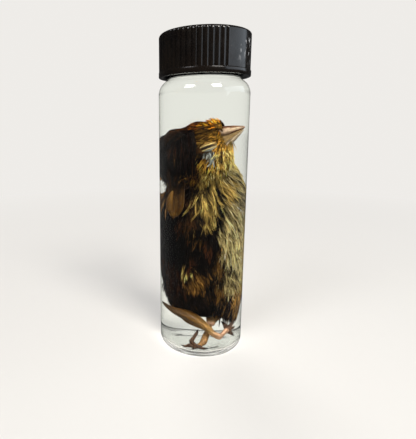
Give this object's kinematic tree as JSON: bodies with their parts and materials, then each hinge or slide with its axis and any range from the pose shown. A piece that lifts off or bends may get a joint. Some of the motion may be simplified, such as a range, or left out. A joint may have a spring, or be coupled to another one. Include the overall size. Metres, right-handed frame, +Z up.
{
  "type": "specimen jar",
  "caption": "Clear glass screw-cap vial with a ribbed black cap and liner, holding a small preserved chick in clear fluid.",
  "frame": {"origin": "centre of the base's resting plane", "axes": "+Z up along the vial's axis, +X towards the chick's bill, -Y towards the viewer of the picture"},
  "size_m": [0.0274, 0.0274, 0.098],
  "materials": {
    "clear_glass": "clear polished",
    "black_phenolic": "glossy moulded, scuffed",
    "liner_pulp": "matt pulp",
    "liner_face": "smooth white",
    "fluid": "clear, faintly yellow",
    "dark_down": "soaked down",
    "golden_down": "soaked down",
    "wing_down": "soaked down",
    "bill_horn": "pale horn",
    "eyelid_skin": "thin skin",
    "leg_skin": "damp skin",
    "shank_skin": "scaled skin",
    "claw_horn": "dark horn"
  },
  "bodies": {
    "jar": {"glass_vial": "clear_glass", "preservative_fluid": "fluid", "trunk": "dark_down", "head": "golden_down", "upper_bill": "bill_horn", "lower_bill": "bill_horn", "near_eyelids": "eyelid_skin", "far_eyelids": "eyelid_skin", "near_wing": "wing_down", "far_wing": "wing_down", "near_drumstick": "leg_skin", "far_drumstick": "leg_skin", "near_shank": "shank_skin", "far_shank": "shank_skin", "near_foot": "shank_skin", "far_foot": "shank_skin", "near_claws": "claw_horn", "far_claws": "claw_horn"},
    "liner": {"liner_backing": "liner_pulp", "liner_facing": "liner_face"},
    "cap": {"screw_cap": "black_phenolic"}
  },
  "joints": [
    {"name": "liner_lift", "type": "slide", "parent": "jar", "child": "liner", "axis": [0, 0, 1], "range_m": [0, 0.0127]},
    {"name": "cap_turn", "type": "hinge", "parent": "liner", "child": "cap", "pos_m": [0, 0, 0.095], "axis": [0, 0, 1], "range_deg": [0, 1440]}
  ],
  "couplings": [
    {"joint": "liner_lift", "follows": "cap_turn", "m_per_rad": 0.00050532}
  ]
}
